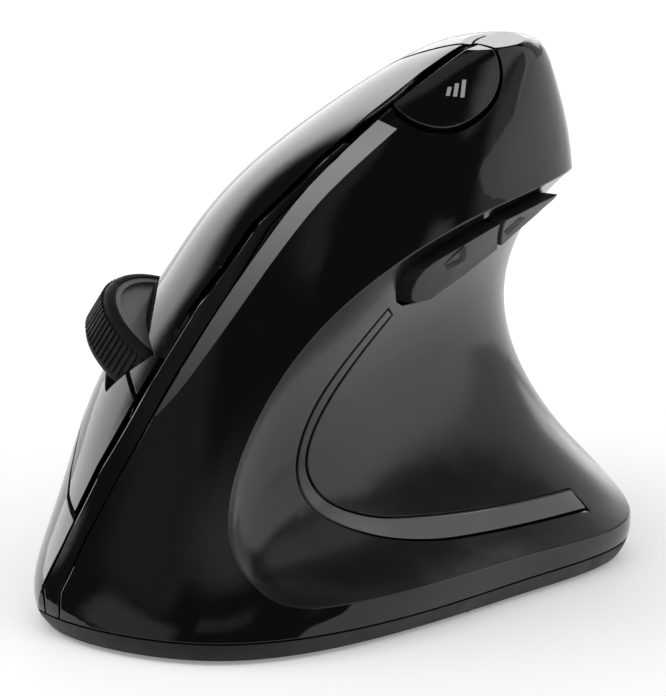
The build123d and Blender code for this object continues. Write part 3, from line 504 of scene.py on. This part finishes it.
def corner_weights(place, triangle):
    """How much each corner of a triangle counts at a place."""
    a, b, c = triangle
    ab, ac, ap = b - a, c - a, place - a
    d00, d01, d11 = ab.dot(ab), ab.dot(ac), ac.dot(ac)
    d20, d21 = ap.dot(ab), ap.dot(ac)
    spread = d00 * d11 - d01 * d01
    if spread < flat_triangle:
        return 1, 0, 0
    second = min(max((d11 * d20 - d01 * d21) / spread, 0), 1)
    third = min(max((d00 * d21 - d01 * d20) / spread, 0), 1 - second)
    return 1 - second - third, second, third


def packed_normals(mesh, node, rounded):
    """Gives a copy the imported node's own normals, which its rounded edges run into."""
    source = nodes[node].data
    places = [vertex.co.copy() for vertex in source.vertices]
    faces = [tuple(face.vertices) for face in source.polygons]
    corners = [tuple(face.loop_indices) for face in source.polygons]
    packed = [corner.vector.copy() for corner in source.corner_normals]
    tree = BVHTree.FromPolygons(places, faces)
    normals = [Vector((0, 0, 0)) for _ in mesh.loops]
    met = {}
    for face in mesh.polygons:
        if rounded[face.index]:
            continue
        for loop in face.loop_indices:
            vertex = mesh.loops[loop].vertex_index
            place = mesh.vertices[vertex].co
            nearest = tree.find_nearest(place.lerp(face.center, inset_share))[2]
            triangle = [places[corner] for corner in faces[nearest]]
            ends = [packed[corner] for corner in corners[nearest]]
            weights = corner_weights(place, triangle)
            normal = sum((end * weight for end, weight in zip(ends, weights)), Vector((0, 0, 0)))
            if normal.length > normal_least and normal.dot(face.normal) > normal_turn:
                normals[loop] = normal.normalized()
                met.setdefault(vertex, []).append(normals[loop])
    for face in mesh.polygons:
        if rounded[face.index]:
            for loop in face.loop_indices:
                ends = met.get(mesh.loops[loop].vertex_index)
                if ends:
                    normals[loop] = sum(ends, Vector((0, 0, 0))).normalized()
    mesh.normals_split_custom_set(normals)


def rear_screw_axis():
    """A point on the axis of the case screw that stands furthest back."""
    screws = bmesh.new()
    screws.from_mesh(nodes["case_screws"].data)
    bmesh.ops.remove_doubles(screws, verts=screws.verts, dist=weld_distance)
    reached = [max(screws.verts, key=lambda vertex: vertex.co.y)]
    found = set(reached)
    for vertex in reached:
        for edge in vertex.link_edges:
            other = edge.other_vert(vertex)
            if other not in found:
                found.add(other)
                reached.append(other)
    low = Vector([min(vertex.co[i] for vertex in reached) for i in range(3)])
    high = Vector([max(vertex.co[i] for vertex in reached) for i in range(3)])
    screws.free()
    return (low + high) / 2


def close_bore(shell, axis):
    """Takes a screw's bore out of a shell, and closes the skin where the bore came through it."""
    bore = [face for face in shell.faces
            if all((vertex.co.xy - axis.xy).length < bore_radius for vertex in face.verts)]
    bmesh.ops.delete(shell, geom=bore, context="FACES")
    open_edges = [edge for edge in shell.edges if edge.is_boundary]
    bmesh.ops.holes_fill(shell, edges=open_edges, sides=0)


def dressed(node, material, region=None, bore=None):
    """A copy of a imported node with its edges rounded, which stands for the node.

    A region is a place in the picture and a second material for the smooth face there,
    and a bore is the axis of a screw's bore that is closed.
    """
    sizes = settings()[1]
    copy = bmesh.new()
    copy.from_mesh(nodes[node].data)
    bmesh.ops.remove_doubles(copy, verts=copy.verts, dist=weld_distance)
    if bore is not None:
        close_bore(copy, bore)
    for face in copy.faces:
        face.smooth = True
        face.material_index = 0
    if region:
        copy.faces.ensure_lookup_table()
        seed = BVHTree.FromBMesh(copy).ray_cast(*sight(*region[0]))[2]
        for face in smooth_region(copy.faces[seed], smooth_limit):
            face.material_index = 1
    tag = copy.faces.layers.int.new("rounded")
    for face in round_edges(copy, sizes.edge_round, sizes.round_steps, sharp_edge):
        face[tag] = 1
    bmesh.ops.triangulate(copy, faces=[face for face in copy.faces if len(face.verts) > 4])
    name = node + "_dressed"
    mesh = bpy.data.meshes.new(name)
    copy.to_mesh(mesh)
    copy.free()
    mesh.set_sharp_from_angle(angle=crease)
    packed_normals(mesh, node, [bool(item.value) for item in mesh.attributes["rounded"].data])
    mesh.materials.append(material)
    if region:
        mesh.materials.append(region[1])
    piece = add_piece(name, mesh, node)
    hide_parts(node)
    return piece


def short_screws(material):
    """The case screws with shorter tips, which stay under the shells' skin."""
    copy = bmesh.new()
    copy.from_mesh(nodes["case_screws"].data)
    for vertex in copy.verts:
        vertex.co.z = min(vertex.co.z, screw_top)
    mesh = bpy.data.meshes.new("case_screws_short")
    copy.to_mesh(mesh)
    copy.free()
    mesh.materials.append(material)
    piece = add_piece("case_screws_short", mesh, "case_screws")
    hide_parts("case_screws")


# Marks and the polished strip

def skin_of(carriers):
    """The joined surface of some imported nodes, for lines of sight to meet."""
    places, faces = [], []
    for carrier in carriers:
        mesh = nodes[carrier].data
        faces += [[len(places) + index for index in face.vertices] for face in mesh.polygons]
        places += [vertex.co for vertex in mesh.vertices]
    return BVHTree.FromPolygons(places, faces)


def flat_plate(corners, ladder):
    """A finely divided plate whose outline is given in the picture, as one face or as a ladder of faces."""
    plate = bmesh.new()
    outline = [plate.verts.new(Vector((column * mm, -row * mm, 0))) for column, row in corners]
    if ladder:
        for rung in range(len(outline) // 2 - 1):
            plate.faces.new((outline[rung], outline[rung + 1], outline[-2 - rung], outline[-1 - rung]))
    else:
        plate.faces.new(outline)
        bmesh.ops.triangulate(plate, faces=plate.faces)
    bmesh.ops.subdivide_edges(plate, edges=plate.edges, cuts=strip_cuts if ladder else mark_cuts,
                              use_grid_fill=True)
    return plate


def lay_on_skin(plate, skin, rise):
    """Moves a plate along the lines of sight to a skin, and returns the way that the skin faces."""
    hits = {vertex: skin.ray_cast(*sight(vertex.co.x / mm, -vertex.co.y / mm)) for vertex in plate.verts}
    facing = sum((hit[1] for hit in hits.values() if hit[0] is not None), Vector((0, 0, 0)))
    if not facing.length:
        raise RuntimeError("a mark misses the node that carries it")
    adrift = [vertex for vertex, hit in hits.items()
              if hit[0] is None or hit[1].dot(facing.normalized()) < skin_turn]
    for vertex, (place, normal, _, _) in hits.items():
        if vertex not in adrift:
            vertex.co = place + normal * rise
    settle(plate, adrift)
    return facing


def settle(plate, adrift):
    """Puts the vertices that missed the skin between their neighbours, from the outside inwards."""
    settled = set(plate.verts) - set(adrift)
    while adrift:
        ready = [vertex for vertex in adrift
                 if any(edge.other_vert(vertex) in settled for edge in vertex.link_edges)]
        for vertex in ready:
            around = [edge.other_vert(vertex) for edge in vertex.link_edges]
            ends = [other.co for other in around if other in settled]
            vertex.co = sum(ends, Vector((0, 0, 0))) / len(ends)
        settled.update(ready)
        adrift = [vertex for vertex in adrift if vertex not in settled]


def bridge(plate):
    """Draws a plate towards the camera where it dips behind its neighbours, as over a seam."""
    start = camera_place()
    for _ in range(bridge_rounds):
        for vertex in plate.verts:
            around = [(edge.other_vert(vertex).co - start).length for edge in vertex.link_edges]
            away = vertex.co - start
            near = min(away.length, sum(around) / len(around))
            vertex.co = start + away.normalized() * near


def mark(name, carriers, corners, material, rise=mark_rise, depth=mark_depth, ladder=False):
    """A thin plate on some nodes, with the outline that the picture shows. It rides with the first."""
    plate = flat_plate(corners, ladder)
    facing = lay_on_skin(plate, skin_of(carriers), rise)
    if ladder:
        bridge(plate)
    bmesh.ops.recalc_face_normals(plate, faces=plate.faces)
    if sum((face.normal for face in plate.faces), Vector((0, 0, 0))).dot(facing) < 0:
        bmesh.ops.reverse_faces(plate, faces=plate.faces)
    bmesh.ops.solidify(plate, geom=plate.faces, thickness=depth)
    mesh = bpy.data.meshes.new(name)
    plate.to_mesh(mesh)
    plate.free()
    mesh.materials.append(material)
    return add_piece(name, mesh, carriers[0])


def smooth_line(points, steps):
    """Places along a smooth curve through points in the picture."""
    places = []
    ends = (points[0], *points, points[-1])
    for spans in zip(ends, ends[1:], ends[2:], ends[3:]):
        for step in range(steps):
            t = step / steps
            places.append(tuple(0.5 * (2 * q + (r - p) * t + (2 * p - 5 * q + 4 * r - s) * t ** 2
                                       + (3 * q - p - 3 * r + s) * t ** 3)
                                for p, q, r, s in zip(*spans)))
    return (*places, points[-1])


def strip_normal(place):
    """The normal with which a place on the strip mirrors its part of the row of lamps to the camera."""
    studio = settings()[2]
    back, _, up = camera_axes()
    rise = (place - Vector(studio.aim)).dot(up) / studio.view_height * picture_rows
    first_row, last_row = strip_rows
    first, last = strip_azimuths
    share = (picture_rows / 2 - rise - first_row) / (last_row - first_row)
    azimuth = math.radians(first + (last - first) * share)
    return (sky_direction(azimuth, math.radians(strip_elevation)) + back).normalized()


def polished_edge(material):
    """The polished strip along the front shell's edge, which mirrors the row of strip lamps."""
    corners = smooth_line(strip_right, strip_steps) + smooth_line(strip_left, strip_steps)[::-1]
    strip = mark("polished_edge", ("front_shell", "ridge_trim"), corners, material,
                 strip_rise, strip_depth, ladder=True)
    mesh = strip.data
    normals = []
    for face in mesh.polygons:
        for loop in face.loop_indices:
            normal = strip_normal(mesh.vertices[mesh.loops[loop].vertex_index].co)
            own = normal.dot(face.normal) > strip_normal_turn
            normals.append(normal if own else Vector((0, 0, 0)))
    mesh.normals_split_custom_set(normals)
    return strip


def make_strip_lamps(context, strip):
    """A curved row of lamps, each dimmer than the one before, that only the polished strip mirrors."""
    receivers = bpy.data.collections.new("mirrors_strip_lamps")
    receivers.objects.link(strip)
    elevation = math.radians(strip_elevation)
    first, last = strip_azimuths
    step = (last - first) / (len(strip_levels) - 1)
    for number, level in enumerate(strip_levels):
        away = sky_direction(math.radians(first + number * step), elevation)
        data = bpy.data.lights.new(f"strip_lamp_{number + 1}", "AREA")
        data.shape = "RECTANGLE"
        data.size = strip_lamp_overlap * math.cos(elevation) * math.radians(abs(step)) * lamp_distance
        data.size_y = strip_lamp_height
        data.energy = level * math.pi * data.size * data.size_y
        lamp = place_lamp(context, data, strip_centre, away)
        lamp.light_linking.receiver_collection = receivers


def place_lamp(context, data, centre, away):
    """Puts a lamp at the lamps' distance from a centre, facing it and unseen by the camera."""
    lamp = bpy.data.objects.new(data.name, data)
    lamp.location = centre + away * lamp_distance
    lamp.rotation_euler = away.to_track_quat("Z", "Y").to_euler()
    lamp.visible_camera = False
    context.scene.collection.objects.link(lamp)
    return lamp


class MouseCamera(bpy.types.Operator):
    """Sets the camera where the photograph was taken from."""
    bl_idname = "mouse.camera"
    bl_label = "Camera"

    def execute(self, context):
        data = bpy.data.cameras.new("camera")
        data.lens = settings()[2].lens
        data.sensor_width = sensor_width
        data.clip_end = far_clip
        camera = bpy.data.objects.new("camera", data)
        context.scene.collection.objects.link(camera)
        camera.location = camera_place()
        camera.rotation_euler = camera_axes()[0].to_track_quat("Z", "Y").to_euler()
        context.scene.camera = camera
        return {"FINISHED"}


class MouseShells(bpy.types.Operator):
    """Dresses the front shell, the palm shell and the ridge trim."""
    bl_idname = "mouse.shells"
    bl_label = "Shells"

    def execute(self, context):
        colours = settings()[0]
        gloss = gloss_plastic("gloss_shell", colours.shell)
        scoop = satin_plastic("satin_scoop", colours.scoop)
        dressed("front_shell", gloss, region=((430, 420), scoop), bore=rear_screw_axis())
        dressed("palm_shell", gloss)
        dressed("ridge_trim", gloss)
        strip = polished_edge(new_material("polished_strip", colours.shell, strip_roughness))
        make_strip_lamps(context, strip)
        return {"FINISHED"}


class MouseButtons(bpy.types.Operator):
    """Dresses the click buttons, the side buttons and the resolution button."""
    bl_idname = "mouse.buttons"
    bl_label = "Buttons"

    def execute(self, context):
        colours, sizes, _ = settings()
        panel = gloss_plastic("gloss_panel", colours.shell)
        for node in ("upper_click_button", "lower_click_button", "resolution_button"):
            dressed(node, panel)
        matte = matte_plastic("matte_button", colours.buttons)
        for node in ("forward_button", "back_button"):
            dressed(node, matte)
        # Painted shadow: dark strokes along the shaded walls of the engraved arrows
        painted_arrow_shade = rubber("painted_arrow_shadow", colours.painted_arrow_shade)
        mark("forward_arrow_painted_shadow", ("forward_button",), forward_arrow_painted_shadow, painted_arrow_shade)
        mark("back_arrow_painted_shadow", ("back_button",), back_arrow_painted_shadow, painted_arrow_shade)
        pale = satin_plastic("pale_print", colours.mark, low=0.3, high=0.4)
        for number, share in enumerate(bar_shares):
            half = share * sizes.mark_height / mm * bar_half_length
            column = bar_middle[0] + (number - 1) * bar_step[0]
            row = bar_middle[1] + (number - 1) * bar_step[1]
            low = [(column - bar_half_width, row + half), (column + bar_half_width, row + half)]
            high = [(column + 2 * bar_half_width, row - half), (column, row - half)]
            mark(f"level_bar_{number + 1}", ("resolution_button",), low + high, pale, bar_rise)
        return {"FINISHED"}


class MouseTrim(bpy.types.Operator):
    """Dresses the strip that curls round the thumb, with a painted reflection on its low end and painted
    shade on its high end.
    """
    bl_idname = "mouse.trim"
    bl_label = "Thumb trim"

    def execute(self, context):
        colours, sizes, _ = settings()
        grey = satin_plastic("satin_trim_painted_light", colours.trim, low=0.14, high=0.2)
        # Painted reflection low down and painted shade high up: the trim's colour runs from pale to dark by
        # height
        paint_light_and_shade_by_height(grey, colours.trim, colours.painted_groove_shade, sizes.painted_shade_start, sizes.painted_shade_end)
        dressed("thumb_trim", grey)
        return {"FINISHED"}


class MouseWheel(bpy.types.Operator):
    """Finishes the tyre, the hub and the axle."""
    bl_idname = "mouse.wheel"
    bl_label = "Wheel"

    def execute(self, context):
        colours = settings()[0]
        paint(["wheel_tyre"], rubber("tyre_rubber", colours.tyre))
        paint(["wheel_hub"], satin_plastic("satin_hub", colours.hub, low=0.2, high=0.26))
        paint(["wheel_axle"], metal("turned_steel", (0.5, 0.5, 0.5), roughness=0.25))
        return {"FINISHED"}


class MouseBase(bpy.types.Operator):
    """Finishes the base, its door, slider, feet and screws."""
    bl_idname = "mouse.base"
    bl_label = "Base"

    def execute(self, context):
        grained = rough_plastic("grained_base", settings()[0].base)
        paint(["base_plate", "battery_door", "power_slider"], grained)
        paint(["front_foot", "rear_feet"], slip_plastic("slip_pad", (0.03, 0.03, 0.032)))
        steel = metal("plated_screw", (0.45, 0.45, 0.46), roughness=0.3)
        paint(["main_board_screws", "slope_board_screws", "pivot_pin", "receiver_plug"], steel)
        short_screws(steel)
        return {"FINISHED"}


class MouseInsides(bpy.types.Operator):
    """Finishes the boards, the switches, the cells and the frames inside."""
    bl_idname = "mouse.insides"
    bl_label = "Insides"

    def execute(self, context):
        paint(["main_board", "slope_board", "side_board", "resolution_board"], circuit_board("circuit_board"))
        black = rough_plastic("switch_plastic", (0.01, 0.01, 0.01), grain=0.2 * mm, depth=0.004 * mm)
        paint(["upper_switch", "lower_switch", "middle_switch", "forward_switch", "back_switch",
               "resolution_switch", "power_switch", "wheel_encoder", "motion_sensor",
               "controller_chip"], black)
        dark = rough_plastic("frame_plastic", (0.03, 0.03, 0.03), grain=0.3 * mm, depth=0.006 * mm)
        paint(["wheel_carrier", "pivot_stand", "inner_frame", "receiver_cap"], dark)
        paint(["battery_springs", "battery_plate"], metal("nickel_sheet", (0.6, 0.59, 0.56), roughness=0.2))
        low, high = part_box("battery_cells")
        edge = low.y + sleeve_share * (high.y - low.y)
        paint(["battery_cells"], cell_sleeve("cell_sleeve", (0.42, 0.43, 0.45), (0.02, 0.1, 0.3), edge))
        paint(["sensor_lens", "light_source"], clear_plastic("clear_lens"))
        return {"FINISHED"}


class MouseStage(bpy.types.Operator):
    """Makes the floor, the key lamp and the world."""
    bl_idname = "mouse.stage"
    bl_label = "Stage"

    def execute(self, context):
        context.scene.view_settings.view_transform = "Standard"
        make_floor(context)
        make_key_lamp(context)
        make_world(context)
        return {"FINISHED"}


def make_floor(context):
    """A plain pale floor."""
    grid = bmesh.new()
    bmesh.ops.create_grid(grid, x_segments=1, y_segments=1, size=floor_half)
    mesh = bpy.data.meshes.new("floor")
    grid.to_mesh(mesh)
    grid.free()
    mesh.materials.append(floor_paint("pale_floor"))
    floor = bpy.data.objects.new("floor", mesh)
    context.scene.collection.objects.link(floor)


def make_key_lamp(context):
    """A soft lamp high on the finger side, which throws the shadow towards the thumb side."""
    data = bpy.data.lights.new("key_lamp", "AREA")
    data.shape = "DISK"
    data.size = key_size
    data.energy = key_energy
    away = sky_direction(math.radians(key_azimuth), math.radians(key_elevation))
    lamp = place_lamp(context, data, Vector((0, 0, 0)), away)
    lamp.visible_glossy = False


class Sky:
    """Joins the nodes of the world, value by value."""

    def __init__(self, tree):
        self.tree = tree

    def feed(self, socket, value):
        """Sets a socket to a number, or joins it to an output."""
        if isinstance(value, (int, float)):
            socket.default_value = value
        else:
            self.tree.links.new(value, socket)

    def math(self, operation, *values):
        """The result of one operation on numbers or outputs."""
        node = self.tree.nodes.new("ShaderNodeMath")
        node.operation = operation
        for socket, value in zip(node.inputs, values):
            self.feed(socket, value)
        return node.outputs["Value"]

    def dot(self, direction, axis):
        """How far a direction points along an axis."""
        node = self.tree.nodes.new("ShaderNodeVectorMath")
        node.operation = "DOT_PRODUCT"
        self.tree.links.new(direction, node.inputs[0])
        node.inputs[1].default_value = axis
        return node.outputs["Value"]

    def ramp(self, value, start, stop, low=0.0, high=1.0, soft=True):
        """Runs from low to high while a value runs from start to stop."""
        node = self.tree.nodes.new("ShaderNodeMapRange")
        node.interpolation_type = "SMOOTHSTEP" if soft else "LINEAR"
        for name, number in (("From Min", start), ("From Max", stop), ("To Min", low), ("To Max", high)):
            node.inputs[name].default_value = number
        self.feed(node.inputs["Value"], value)
        return node.outputs["Result"]

    def band(self, value, low, high, soft):
        """1 between two values, with edges that are soft by a given amount."""
        rise = self.ramp(value, low - soft / 2, low + soft / 2)
        fall = self.ramp(value, high - soft / 2, high + soft / 2, 1.0, 0.0)
        return self.math("MULTIPLY", rise, fall)


def mirrored_studio(sky, direction):
    """The level that a polished surface mirrors from each direction."""
    east = sky.dot(direction, (1, 0, 0))
    nose = sky.dot(direction, (0, -1, 0))
    azimuth = sky.math("WRAP", sky.math("ARCTAN2", east, nose), 2 * math.pi, 0.0)
    elevation = sky.math("ARCSINE", sky.dot(direction, (0, 0, 1)))
    total = dark_level
    for first, last, low, high, soft, level in soft_boxes:
        across = sky.band(azimuth, math.radians(first), math.radians(last), math.radians(soft))
        along = sky.band(elevation, math.radians(low), math.radians(high), math.radians(soft))
        total = sky.math("MULTIPLY_ADD", sky.math("MULTIPLY", across, along), level, total)
    ceiling = sky.ramp(elevation, math.radians(ceiling_start), math.radians(ceiling_full), 0.0, ceiling_level)
    return sky.math("ADD", total, ceiling)


def make_world(context):
    """Plain light all round, a white background, and soft boxes for what is polished."""
    world = bpy.data.worlds.new("studio")
    context.scene.world = world
    world.use_nodes = True
    tree = world.node_tree
    tree.nodes.clear()
    sky = Sky(tree)
    direction = tree.nodes.new("ShaderNodeTexCoord").outputs["Generated"]
    rays = tree.nodes.new("ShaderNodeLightPath").outputs
    polished = sky.math("MAXIMUM", rays["Is Glossy Ray"], rays["Is Transmission Ray"])
    plain = sky.ramp(rays["Is Camera Ray"], 0.0, 1.0, plain_level, 1.0, soft=False)
    level = tree.nodes.new("ShaderNodeMix")
    level.data_type = "FLOAT"
    tree.links.new(polished, level.inputs[0])
    tree.links.new(plain, level.inputs[2])
    tree.links.new(mirrored_studio(sky, direction), level.inputs[3])
    background = tree.nodes.new("ShaderNodeBackground")
    background.inputs["Color"].default_value = (1, 1, 1, 1)
    tree.links.new(level.outputs[0], background.inputs["Strength"])
    output = tree.nodes.new("ShaderNodeOutputWorld")
    tree.links.new(background.outputs["Background"], output.inputs["Surface"])


class MousePanel(bpy.types.Panel):
    """Lists the steps in the sidebar."""
    bl_idname = "VIEW3D_PT_mouse"
    bl_label = "Vertical mouse"
    bl_space_type = "VIEW_3D"
    bl_region_type = "UI"
    bl_category = "Mouse"

    def draw(self, context):
        for step in steps:
            self.layout.operator(step.bl_idname)


steps = (MouseCamera, MouseShells, MouseButtons, MouseTrim, MouseWheel, MouseBase, MouseInsides, MouseStage)
groups = (MouseColours, MouseSizes, MouseStudio)


def register():
    for kind in (*groups, *steps, MousePanel):
        bpy.utils.register_class(kind)
    bpy.types.Scene.mouse_colours = PointerProperty(type=MouseColours)
    bpy.types.Scene.mouse_sizes = PointerProperty(type=MouseSizes)
    bpy.types.Scene.mouse_studio = PointerProperty(type=MouseStudio)


def unregister():
    del bpy.types.Scene.mouse_studio
    del bpy.types.Scene.mouse_sizes
    del bpy.types.Scene.mouse_colours
    for kind in reversed((*groups, *steps, MousePanel)):
        bpy.utils.unregister_class(kind)


def main():
    register()
    bpy.ops.mouse.camera()
    bpy.ops.mouse.shells()
    bpy.ops.mouse.buttons()
    bpy.ops.mouse.trim()
    bpy.ops.mouse.wheel()
    bpy.ops.mouse.base()
    bpy.ops.mouse.insides()
    bpy.ops.mouse.stage()


if __name__ == "__main__":
    main()
